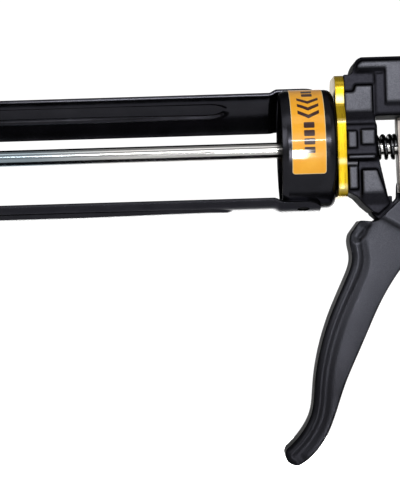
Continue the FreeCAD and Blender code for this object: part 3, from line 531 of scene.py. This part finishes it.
def mixed(tree, amount, first, second, blend="MIX"):
    """Two colours mixed by a value, or by a blend mode such as their product."""
    node = tree.nodes.new("ShaderNodeMix")
    node.data_type = "RGBA"
    node.blend_type = blend
    colours = [socket for socket in node.inputs if socket.type == "RGBA"]
    plug(tree, node.inputs["Factor"], amount)
    plug(tree, colours[0], first)
    plug(tree, colours[1], second)
    return [socket for socket in node.outputs if socket.type == "RGBA"][0]


def bumped(tree, main, height, strength, distance):
    """Fine relief on the surface from a pattern."""
    node = tree.nodes.new("ShaderNodeBump")
    node.inputs["Strength"].default_value = strength
    node.inputs["Distance"].default_value = distance
    plug(tree, node.inputs["Height"], height)
    plug(tree, main.inputs["Normal"], node.outputs["Normal"])


def black_paint(name, base, roughness, edge, metallic=0.94):
    """Black paint over metal: it mirrors a little all over, and its rims stay dark."""
    material, tree, main = shader(name, base, roughness, metallic=metallic, specular=0.4)
    plug(tree, main.inputs["Specular Tint"], (edge, edge, edge))
    return material, tree, main


def enamel(name, base, roughness, edge):
    """Baked enamel on sheet steel: a little orange peel, dust and faint rubbing."""
    material, tree, main = black_paint(name, base, roughness, edge)
    at = coordinates(tree)
    cloud = noise(tree, at, 70.0, 4.0)
    peel = noise(tree, at, 900.0, 2.0)
    dusty = tuple(c * 1.35 for c in base)
    dust = ranged(tree, cloud, 0.4, 0.8, 0.0, 1.0)
    plug(tree, main.inputs["Base Color"], mixed(tree, dust, base, dusty))
    plug(tree, main.inputs["Roughness"], varied(tree, cloud, roughness - 0.03, roughness + 0.05))
    bumped(tree, main, peel, 0.1, 0.03 * MM)
    return material


def powder_coat():
    """Sandy black powder coat on the casting, with painted light: its raised faces are paler, as though
    light falls on them, and the faces between them darker, as painted shade.
    """
    material, tree, main = black_paint("sandy_black", (0.02, 0.02, 0.022), 0.45, 0.02, 0.96)
    at = coordinates(tree)
    grain = noise(tree, at, 1700.0, 3.0, 0.6)
    coarse = noise(tree, at, 650.0, 2.0)
    cloud = noise(tree, at, 45.0, 3.0)
    sideways = math_node(tree, "ABSOLUTE", axis(tree, at, "Y"))
    # Painted light and shade: faces more than about 17.3 mm out from the middle take the paler colour,
    # the faces further in the darker one.
    raised = ranged(tree, sideways, 17.3 * MM, 17.9 * MM, 0.0, 1.0)
    specks = ranged(tree, grain, 0.35, 0.75, 0.0, 1.0)
    dark = mixed(tree, specks, (0.014, 0.014, 0.018), (0.024, 0.024, 0.03))
    pale = mixed(tree, specks, (0.055, 0.056, 0.066), (0.088, 0.09, 0.104))
    plug(tree, main.inputs["Base Color"], mixed(tree, raised, dark, pale))
    plug(tree, main.inputs["Roughness"], varied(tree, cloud, 0.36, 0.48))
    bumped(tree, main, math_node(tree, "ADD", grain, coarse), 0.3, 0.08 * MM)
    return material


def satin_black():
    """Satin black coat on the trigger, with painted light: paler near its top, where the light falls,
    and painted shade darkening the scoop, the groove and the band below the step.
    """
    material, tree, main = black_paint("satin_black", (0.03, 0.03, 0.034), 0.34, 0.12, 0.92)
    at = coordinates(tree)
    grain = noise(tree, at, 2600.0, 2.0)
    cloud = noise(tree, at, 35.0, 3.0)
    # Painted light: the base colour grows paler towards the trigger's top, where the light falls, and
    # darker lower down.
    high = ranged(tree, axis(tree, at, "Z"), -120 * MM, -45 * MM, 0.0, 1.0)
    specks = ranged(tree, grain, 0.35, 0.75, 0.0, 1.0)
    painted_shaded_tone = mixed(tree, specks, (0.012, 0.012, 0.0145), (0.019, 0.019, 0.023))
    painted_top_light_tone = mixed(tree, specks, (0.032, 0.033, 0.04), (0.05, 0.051, 0.06))
    # Painted shade: the sunk value stored on the trigger's mesh darkens the base colour in the scoop,
    # the groove and the band below the step.
    depth = tree.nodes.new("ShaderNodeAttribute")
    depth.attribute_name = "sunk"
    lit = mixed(tree, high, painted_shaded_tone, painted_top_light_tone)
    painted_recess_shade = ranged(tree, depth.outputs["Fac"], 0.25, 1.0, 0.0, 1.0)
    plug(tree, main.inputs["Base Color"], mixed(tree, painted_recess_shade, lit, (0.004, 0.004, 0.005)))
    plug(tree, main.inputs["Roughness"], varied(tree, cloud, 0.3, 0.38))
    bumped(tree, main, grain, 0.2, 0.04 * MM)
    return material


def bright_rod():
    """Ground and plated rod, greyer and bluer towards its front end."""
    material, tree, main = shader("bright_rod", (0.8, 0.8, 0.8), 0.14, metallic=1.0)
    plug(tree, main.inputs["Specular Tint"], (0.25, 0.25, 0.25))
    at = coordinates(tree)
    lines = noise(tree, coordinates(tree, (0.015, 1, 1)), 2500.0, 3.0)
    rearward = ranged(tree, axis(tree, at, "X"), -150 * MM, -105 * MM, 0.0, 1.0)
    tone = mixed(tree, rearward, (0.40, 0.48, 0.53), (0.80, 0.785, 0.765))
    worn = mixed(tree, varied(tree, lines, 0.0, 1.0), (0.72, 0.72, 0.72), (1.0, 1.0, 1.0))
    plug(tree, main.inputs["Base Color"], mixed(tree, 1.0, tone, worn, "MULTIPLY"))
    plug(tree, main.inputs["Roughness"], varied(tree, lines, 0.1, 0.2))
    bumped(tree, main, lines, 0.12, 0.02 * MM)
    return material


def drawn_steel(name, base, roughness, along, scale):
    """Bare or plated metal with fine lines; along is how the pattern is stretched."""
    material, tree, main = shader(name, base, roughness, metallic=1.0)
    lines = noise(tree, coordinates(tree, along), scale, 3.0)
    cloud = noise(tree, coordinates(tree), 60.0, 4.0)
    dark = tuple(c * 0.75 for c in base)
    both = math_node(tree, "ADD", lines, cloud)
    rough = ranged(tree, both, 0.6, 1.4, roughness * 0.75, roughness * 1.35)
    plug(tree, main.inputs["Base Color"], mixed(tree, varied(tree, lines, 0.0, 1.0), dark, base))
    plug(tree, main.inputs["Roughness"], rough)
    bumped(tree, main, lines, 0.15, 0.02 * MM)
    return material


def gold_plate():
    """Gold anodised aluminium with a fine milled grain, and painted highlights: pale bands at some
    heights stand in for reflections of the lamps.
    """
    material, tree, main = shader("gold_anodised", (0.75, 0.47, 0.008), 0.3, metallic=0.85, coat=0.3)
    at = coordinates(tree)
    grain = noise(tree, coordinates(tree, (1, 0.05, 0.05)), 2200.0, 2.0)
    cloud = noise(tree, at, 90.0, 3.0)
    height = ranged(tree, axis(tree, at, "Z"), -40 * MM, 40 * MM, -1.0, 1.0)
    # Painted highlights: pale bands at fixed heights on the plate, in place of reflections.
    bands = ramp(tree, height, (
        (-0.58, 0.0), (-0.5, 0.5), (-0.44, 0.0), (-0.24, 0.0), (-0.185, 0.6), (-0.13, 0.0),
        (0.26, 0.0), (0.3, 0.5), (0.34, 0.0), (0.5, 0.0), (0.58, 0.75), (0.66, 0.0),
    ))
    worn = varied(tree, cloud, 0.0, 1.0)
    plain = mixed(tree, worn, (0.44, 0.285, 0.002), (0.52, 0.345, 0.004))
    plug(tree, main.inputs["Base Color"], mixed(tree, bands, plain, (0.85, 0.72, 0.34)))
    plug(tree, main.inputs["Roughness"], varied(tree, grain, 0.24, 0.36))
    bumped(tree, main, grain, 0.1, 0.02 * MM)
    return material


def film(name, base, edge):
    """Glossy printed film, slightly rippled."""
    material, tree, main = shader(name, base, 0.3, coat=0.6, coat_roughness=0.04, specular=0.2)
    at = coordinates(tree)
    cloud = noise(tree, at, 120.0, 3.0)
    ripple = noise(tree, at, 110.0, 1.0)
    plug(tree, main.inputs["Base Color"], mixed(tree, varied(tree, cloud, 0.0, 1.0), base, edge))
    bumped(tree, main, ripple, 0.5, 0.35 * MM)
    return material


def moulded(name, base, roughness):
    """Moulded nylon."""
    material, tree, main = shader(name, base, roughness)
    grain = noise(tree, coordinates(tree), 1500.0, 2.0)
    plug(tree, main.inputs["Roughness"], varied(tree, grain, roughness - 0.06, roughness + 0.06))
    bumped(tree, main, grain, 0.1, 0.03 * MM)
    return material


BLACK_CUP = enamel("black_enamel_cup", (0.03, 0.03, 0.036), 0.2, 0.3)
BLACK_RAIL = enamel("black_enamel_rail", (0.03, 0.03, 0.036), 0.16, 0.4)
CASTING = powder_coat()
TRIGGER = satin_black()
GOLD = gold_plate()
LABEL = film("orange_film", (0.80, 0.34, 0.012), (0.88, 0.42, 0.03))
LABEL_EDGE = film("label_edge", (0.7, 0.52, 0.24), (0.76, 0.58, 0.3))
LABEL_INK = film("label_ink", (0.035, 0.012, 0.01), (0.05, 0.02, 0.015))
ROD = bright_rod()
ZINC = drawn_steel("zinc_plate", (0.6, 0.6, 0.6), 0.3, (1, 1, 0.1), 1200.0)
OXIDE = drawn_steel("black_oxide", (0.09, 0.09, 0.1), 0.35, (1, 1, 1), 900.0)
RIVET = enamel("blackened_rivet", (0.012, 0.012, 0.014), 0.35, 0.05)
PLATE_STEEL = drawn_steel("plate_steel", (0.3, 0.27, 0.245), 0.42, (1, 1, 0.06), 1500.0)
SPRING = drawn_steel("spring_wire", (0.1, 0.1, 0.105), 0.14, (1, 1, 1), 1500.0)
BRONZE = drawn_steel("sintered_bronze", (0.45, 0.3, 0.13), 0.4, (1, 1, 1), 2500.0)
NYLON = moulded("nylon", (0.02, 0.02, 0.02), 0.5)


# ---------------------------------------------------------------- pieces

def make_cup():
    """The retainer cup: a turned-in mouth, a rounded rear edge and a hole for the neck."""
    corner = 4.0 * MM
    mouth_inset = 0.9 * MM
    mouth_end = CUP_MOUTH + 2.8 * MM
    hole_r = NECK_R + NECK_GAP
    outline = [
        (CUP_MOUTH, CUP_R - mouth_inset),
        (mouth_end, CUP_R),
        (CUP_REAR, CUP_R),
        (CUP_REAR, hole_r),
        (CUP_REAR - SHEET, hole_r),
        (CUP_REAR - SHEET, CUP_R - SHEET),
        (mouth_end, CUP_R - SHEET),
        (CUP_MOUTH, CUP_R - mouth_inset - SHEET),
    ]
    mouth = 0.7 * MM
    bend = 3.0 * MM
    hole = 0.2 * MM
    radii = [mouth, bend, corner, hole, hole, corner - SHEET, bend, mouth]
    cup = lathe("retainer_cup", round_corners(outline, radii, 8), 192)
    mounted(cup, "cradle", "black_steel", BLACK_CUP, "cradle_cup")


def make_rails():
    """Both rails, each with holes for its two rivets at the cup and one at the front."""
    rivets = [v.co.x for v in NODES["cup_rivets"].data.vertices]
    rivet_x = (min(rivets) + max(rivets)) / 2
    for node, angle in zip(("upper_rail", "lower_rail"), RAIL_ANGLES):
        rail = sheet_rail(node + "_sheet", angle)
        for side in (-RIVET_HALF_SPREAD, RIVET_HALF_SPREAD):
            punched(rail, rivet_x, angle + side, RIVET_HOLE_R)
        punched(rail, RAIL_FRONT + FRONT_HOLE_AT, angle, FRONT_HOLE_R)
        smooth(rail.data, 40.0)
        mounted(rail, "cradle", "black_steel", BLACK_RAIL, node)


def wrapped_film(name, outline, cuts, thick, x, angle, lift):
    """Film cut to an outline of (length, arc) points and wrapped round the cup, bending at the cuts."""
    form = bmesh.new()
    form.faces.new([form.verts.new((u, v, 0)) for u, v in outline])
    for cut in cuts:
        everything = form.verts[:] + form.edges[:] + form.faces[:]
        bmesh.ops.bisect_plane(form, geom=everything, plane_co=(0, cut, 0), plane_no=(0, 1, 0))
    shape = bmesh.ops.extrude_face_region(form, geom=form.faces[:])
    for vertex in shape["geom"]:
        if isinstance(vertex, bmesh.types.BMVert):
            vertex.co.z += thick
    bmesh.ops.recalc_face_normals(form, faces=form.faces)
    for vertex in form.verts:
        a = angle + vertex.co.y / CUP_R
        r = CUP_R + lift + vertex.co.z
        vertex.co = Vector((x + vertex.co.x, r * math.cos(a), r * math.sin(a)))
    # The wrap mirrors the flat film, so its faces are turned outwards again.
    bmesh.ops.reverse_faces(form, faces=form.faces)
    mesh = bpy.data.meshes.new(name)
    form.to_mesh(mesh)
    form.free()
    smooth(mesh, 40.0)
    return add_object(name, mesh)


def label_patch(name, x0, x1, a0, a1, corner, lift, thick):
    """A rounded rectangle of film, between two lengths and two angles."""
    width = x1 - x0
    arc = (a1 - a0) * CUP_R
    outline = round_corners([(0, 0), (width, 0), (width, arc), (0, arc)], [corner] * 4, 6)
    steps = max(2, int(arc / (0.6 * MM)))
    cuts = [arc * i / steps for i in range(1, steps)]
    return wrapped_film(name, outline, cuts, thick, x0, a0, lift)


def label_chevron(name, x, angle):
    """A V-shaped mark of ink."""
    wide = 5.2 * MM
    tall = 2.8 * MM
    stroke = 2.1 * MM
    outline = [
        (-wide, 0), (0, tall), (wide, 0), (wide, stroke), (0, tall + stroke), (-wide, stroke),
    ]
    cuts = [k * 0.5 * MM for k in range(1, 10)]
    return wrapped_film(name, outline, cuts, INK, x, angle - tall / CUP_R, INK_LIFT)


def make_label():
    """The sticker: a pale border, an orange field, and a plain mark of bars and chevrons."""
    x0, x1 = LABEL_LOW.x, LABEL_HIGH.x
    middle = x0 + 0.52 * (x1 - x0)
    turn = LABEL_BORDER / CUP_R
    edge = label_patch("label_border", x0, x1, LABEL_START, LABEL_END, 1.4 * MM, 0.02 * MM, 0.1 * MM)
    mounted(edge, "cradle", "label_film", LABEL_EDGE, "cup_label")
    field = label_patch(
        "label_field", x0 + LABEL_BORDER, x1 - LABEL_BORDER, LABEL_START + turn, LABEL_END - turn,
        1.0 * MM, 0.05 * MM, 0.12 * MM,
    )
    mounted(field, "cradle", "label_film", LABEL)
    half = BAR_WIDTH / 2 / CUP_R
    for index, degrees in enumerate(BAR_DEGREES):
        a = math.radians(degrees)
        bar = label_patch(
            "label_bar_%d" % index, middle - BAR_HALF_LENGTH, middle + BAR_HALF_LENGTH,
            a - half, a + half, 0.5 * MM, INK_LIFT, INK,
        )
        mounted(bar, "cradle", "label_film", LABEL_INK)
    for index, degrees in enumerate(CHEVRON_DEGREES):
        chevron = label_chevron("label_chevron_%d" % index, middle, math.radians(degrees))
        mounted(chevron, "cradle", "label_film", LABEL_INK)


def make_casting():
    """The frame as one casting with softened edges."""
    body = even_skin(node_copy("body_casting", "frame_casting", False), 0.55 * MM, 3)
    thinned(body, 0.35)
    smooth(body.data, 80.0)
    mounted(body, "frame", "cast_black", CASTING, "body_casting")


def trigger_front_line():
    """Where the trigger's front face runs, seen from its side, as a search tree of (x, 0, z)."""
    mesh = NODES["trigger"].data
    places = []
    for face in mesh.polygons:
        forward = face.normal.x < -0.35 and abs(face.normal.y) < 0.3
        if not forward or face.center.z >= PIVOT.z - 3 * MM:
            continue
        corners = [mesh.vertices[i].co for i in face.vertices]
        for first, second in zip(corners, corners[1:] + corners[:1]):
            steps = max(1, int((second - first).length / (0.7 * MM)))
            points = [first.lerp(second, k / steps) for k in range(steps)]
            places.extend(p for p in points if p.x < PIVOT.x - 15 * MM)
    nearest = min(p.y for p in places)
    foremost = {}
    for p in places:
        row = round(p.z / (0.5 * MM))
        near_side = abs(p.y - nearest) < 8 * MM
        if near_side and (row not in foremost or p.x < foremost[row].x):
            foremost[row] = p
    tree = kdtree.KDTree(len(foremost))
    for index, p in enumerate(foremost.values()):
        tree.insert((p.x, 0, p.z), index)
    tree.balance()
    return tree


def trigger_relief(x, z, from_front):
    """How far the trigger's side lies below its boss, at a place and its distance from the front."""
    groove = (from_front - GROOVE_AT) / GROOVE_HALF
    low_side = 1.0 - step_between(step_height(x, z), -STEP_HALF, STEP_HALF)
    sunk = 0.0
    if from_front < ROLL:
        sunk += ROLL - math.sqrt(max(ROLL * ROLL - (ROLL - from_front) ** 2, 0.0))
    sunk += GROOVE_DEPTH * math.exp(-groove * groove)
    sunk += SCOOP_DEPTH * scoop_nearness(x, z)
    sunk += STEP_DEPTH * low_side
    return sunk if from_front < ROLL else min(sunk, DEEPEST)


def scoop_nearness(x, z):
    """1 in the middle of the scoop by the trigger's nose and 0 away from it."""
    dx = x - SCOOP_X
    dz = z - SCOOP_Z
    along = (dx * 0.62 + dz * 0.78) / SCOOP_HALF_LENGTH
    across = (dx * 0.78 - dz * 0.62) / SCOOP_HALF_WIDTH
    distance = along ** 2 + across ** 2
    return math.exp(-distance * distance)


def step_height(x, z):
    """How far a place lies below (-) or above (+) the raised boss's slanting lower edge."""
    return (x - STEP_X) * 0.5 + (z - STEP_Z) * 0.87


def hollow_shade(x, z, from_front):
    """How dark the shade is in the scoop, the groove and below the step, from 0 to 1."""
    groove = (from_front - 5.2 * MM) / (1.2 * MM)
    below = (step_height(x, z) + 1.2 * MM) / (1.7 * MM)
    fade = step_between(z, PIVOT.z - 75 * MM, PIVOT.z - 25 * MM)
    return max(
        scoop_nearness(x, z),
        math.exp(-groove * groove) * (0.3 + 0.6 * fade),
        0.8 * math.exp(-below * below),
    )


def make_trigger():
    """The trigger with its rolled front edge, the groove and scoop behind it, and the raised boss."""
    lever = even_skin(node_copy("trigger", "trigger_casting", False), 0.5 * MM, 1)
    front = trigger_front_line()
    for vertex in lever.data.vertices:
        place = vertex.co
        down = min(max((PIVOT.z - place.z) / (PIVOT.z - TRIGGER_LOW.z), 0.0), 1.0)
        side = TRIGGER_HIGH.y + (TIP_HALF - TRIGGER_HIGH.y) * down
        if abs(place.y) < side - SIDE_REACH:
            continue
        from_front = front.find((place.x, 0, place.z))[2]
        limit = side - trigger_relief(place.x, place.z, from_front)
        if abs(place.y) > limit:
            place.y = math.copysign(limit, place.y)
    even_skin(lever, 0.45 * MM, 5)
    thinned(lever, 0.3)
    smooth(lever.data, 80.0)
    # Painted shade: each point stores how strongly the material darkens it in the scoop, the groove and
    # the band below the step.
    sunk = lever.data.attributes.new("sunk", "FLOAT", "POINT")
    for index, vertex in enumerate(lever.data.vertices):
        place = vertex.co
        from_front = front.find((place.x, 0, place.z))[2]
        behind_edge = step_between(from_front, 2.6 * MM, 4.0 * MM)
        sunk.data[index].value = behind_edge * hollow_shade(place.x, place.z, from_front)
    mounted(lever, "trigger", "trigger_black", TRIGGER, "trigger")


def make_face_plate():
    """The gold plate between the cup and the frame."""
    plate = softened("face_plate", "gold_face_plate", 0.5 * MM, 50.0)
    mounted(plate, "frame", "gold_anodised", GOLD, "face_plate")


def make_springs():
    """Both springs as coils of wire, each sized to its CAD spring's box."""
    springs = (
        ("drive_spring", "drive_coil", "drive", 1.0 * MM, 7.5, 0.75),
        ("release_spring", "release_coil", "release", 0.7 * MM, 2.5, 0.4),
    )
    for node, name, body, wire, turns, closed in springs:
        low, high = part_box(node)
        radius = (high.z - low.z) / 2 - wire
        points = coil_points(low.x + wire, high.x - wire, radius, turns, closed)
        spring = tube(name, points, wire)
        spring.data.materials.append(SPRING)
        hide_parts(node)
        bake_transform(spring)


def dress_node(node, material):
    """A CAD node whose shape is right keeps its mesh and takes a better material."""
    mesh = NODES[node].data
    if not mesh.materials:
        mesh.materials.append(material)
    for index in range(len(mesh.materials)):
        mesh.materials[index] = material


def make_small_parts():
    """Each small part by its body, slot, material, edge width in mm and least edge angle."""
    looks = {
        "plate_screws": ("frame", "dark_steel", OXIDE, 0.2, 40),
        "retaining_nut": ("frame", "zinc_steel", ZINC, 0.4, 40),
        "front_bushing": ("frame", "bronze", BRONZE, 0.3, 40),
        "rear_bushing": ("frame", "bronze", BRONZE, 0.3, 40),
        "friction_washer": ("frame", "dark_nylon", NYLON, 0.2, 40),
        "pivot_bolt": ("frame", "dark_steel", OXIDE, 0.5, 40),
        "pivot_nut": ("frame", "dark_steel", OXIDE, 0.35, 28),
        "push_pin": ("trigger", "zinc_steel", ZINC, 0.4, 40),
        "drive_plate": ("drive", "spring_steel", PLATE_STEEL, 0.25, 28),
        "grip_plate": ("drive", "spring_steel", PLATE_STEEL, 0.25, 28),
        "release_lever": ("release", "zinc_steel", ZINC, 0.5, 28),
        "lever_pin": ("frame", "dark_steel", OXIDE, 0.3, 40),
        "piston_plate": ("piston", "zinc_steel", ZINC, 0.4, 40),
        "piston_backing": ("piston", "zinc_steel", ZINC, 0.4, 40),
        "piston_nut": ("rod", "dark_steel", OXIDE, 0.4, 28),
        "piston_collar": ("rod", "zinc_steel", ZINC, 0.4, 40),
        "front_plate": ("cradle", "black_steel", BLACK_RAIL, 0.45, 40),
        "cup_rivets": ("cradle", "rivet_steel", RIVET, 0.3, 40),
        "front_rivets": ("cradle", "rivet_steel", RIVET, 0.35, 40),
    }
    for node, (body, slot, material, width, angle) in looks.items():
        piece = softened(node, node + "_look", width * MM, angle)
        mounted(piece, body, slot, material, node)


# ---------------------------------------------------------------- stage

def make_floor():
    """A plain pale floor below the part."""
    bpy.ops.mesh.primitive_circle_add(vertices=128, radius=FLOOR_R, fill_type="NGON")
    floor = bpy.context.object
    floor.name = "floor"
    floor.location = (0.0, 0.0, CAD_BOX[0][2] - FLOOR_DROP)
    floor.data.materials.append(shader("pale_floor", (0.9, 0.9, 0.9), 0.6, specular=0.1)[0])


def make_world():
    """A studio: a wide soft light in front, grey above, and a white sweep straight behind."""
    world = bpy.data.worlds.new("studio")
    bpy.context.scene.world = world
    world.use_nodes = True
    tree = world.node_tree
    way = tree.nodes.new("ShaderNodeTexCoord").outputs["Generated"]
    height = axis(tree, way, "Z")
    rearward = axis(tree, way, "Y")
    front = ramp(tree, height, (
        (-0.3, 0.1), (-0.05, 0.35), (0.1, 0.45), (0.2, 1.3), (0.4, 1.3), (0.55, 0.3), (1.0, 0.25)
    ))
    back = ramp(tree, height, ((-0.5, 0.1), (0.0, 0.2), (0.5, 0.2), (1.0, 0.25)))
    sides = mixed(tree, ranged(tree, rearward, -0.25, 0.25, 0.0, 1.0), front, back)
    sweep = ranged(tree, rearward, 0.93, 0.965, 0.0, 1.0)
    surround = tree.nodes["Background"]
    plug(tree, surround.inputs["Color"], mixed(tree, sweep, sides, (1.08, 1.08, 1.08)))
    plug(tree, surround.inputs["Strength"], 1.0)


def area_light(name, place, aim, size, power, spread=180.0):
    """A rectangular light in metres and watts, whose spread is in degrees."""
    light = bpy.data.lights.new(name, "AREA")
    light.shape = "RECTANGLE"
    light.size, light.size_y = size
    light.energy = power
    light.spread = math.radians(spread)
    lamp = bpy.data.objects.new(name, light)
    lamp.location = place
    lamp.rotation_euler = (Vector(aim) - Vector(place)).to_track_quat("-Z", "Y").to_euler()
    bpy.context.scene.collection.objects.link(lamp)


def make_lights():
    """A soft key from above, a strip and a left panel in front, a low fill, and the sweep's lamp."""
    area_light("key", (-0.05, -0.5, 0.75), (0, 0, 0), (1.1, 0.3), 1.0)
    area_light("strip", (0.15, -1.2, 0.3), (-0.05, 0, 0), (0.9, 0.05), 5.0)
    area_light("left", (-0.78, -0.95, 0.42), (0, 0, 0), (0.25, 0.7), 1.4)
    area_light("low", (0.05, -1.1, -0.24), (0, 0, -0.05), (0.03, 0.34), 0.3, 70.0)
    area_light("sweep", (0.0, 2.0, 1.0), (0, 2.0, -1.0), (3.2, 1.8), 110.0, 90.0)


def make_camera():
    """A long lens that looks along Y; its picture's longer side takes in CAMERA_COVERS at the rod."""
    camera = bpy.data.cameras.new("camera")
    camera.sensor_width = 36.0
    camera.lens = camera.sensor_width * CAMERA_DISTANCE / CAMERA_COVERS
    camera.clip_start = 0.01
    camera.clip_end = 20.0
    eye = bpy.data.objects.new("camera", camera)
    right = Vector((math.cos(CAMERA_ROLL), 0, -math.sin(CAMERA_ROLL)))
    up = Vector((math.sin(CAMERA_ROLL), 0, math.cos(CAMERA_ROLL)))
    back = Vector((0, -1, 0))
    turn = Matrix((right, up, back)).transposed()
    eye.matrix_world = Matrix.Translation(LOOK_AT + back * CAMERA_DISTANCE) @ turn.to_4x4()
    bpy.context.scene.collection.objects.link(eye)
    bpy.context.scene.camera = eye


bpy.context.scene.view_settings.view_transform = "Standard"
make_camera()
make_world()
make_lights()
make_floor()
make_cup()
make_rails()
make_label()
make_casting()
make_trigger()
make_face_plate()
make_springs()
make_small_parts()
dress_node("push_rod", ROD)
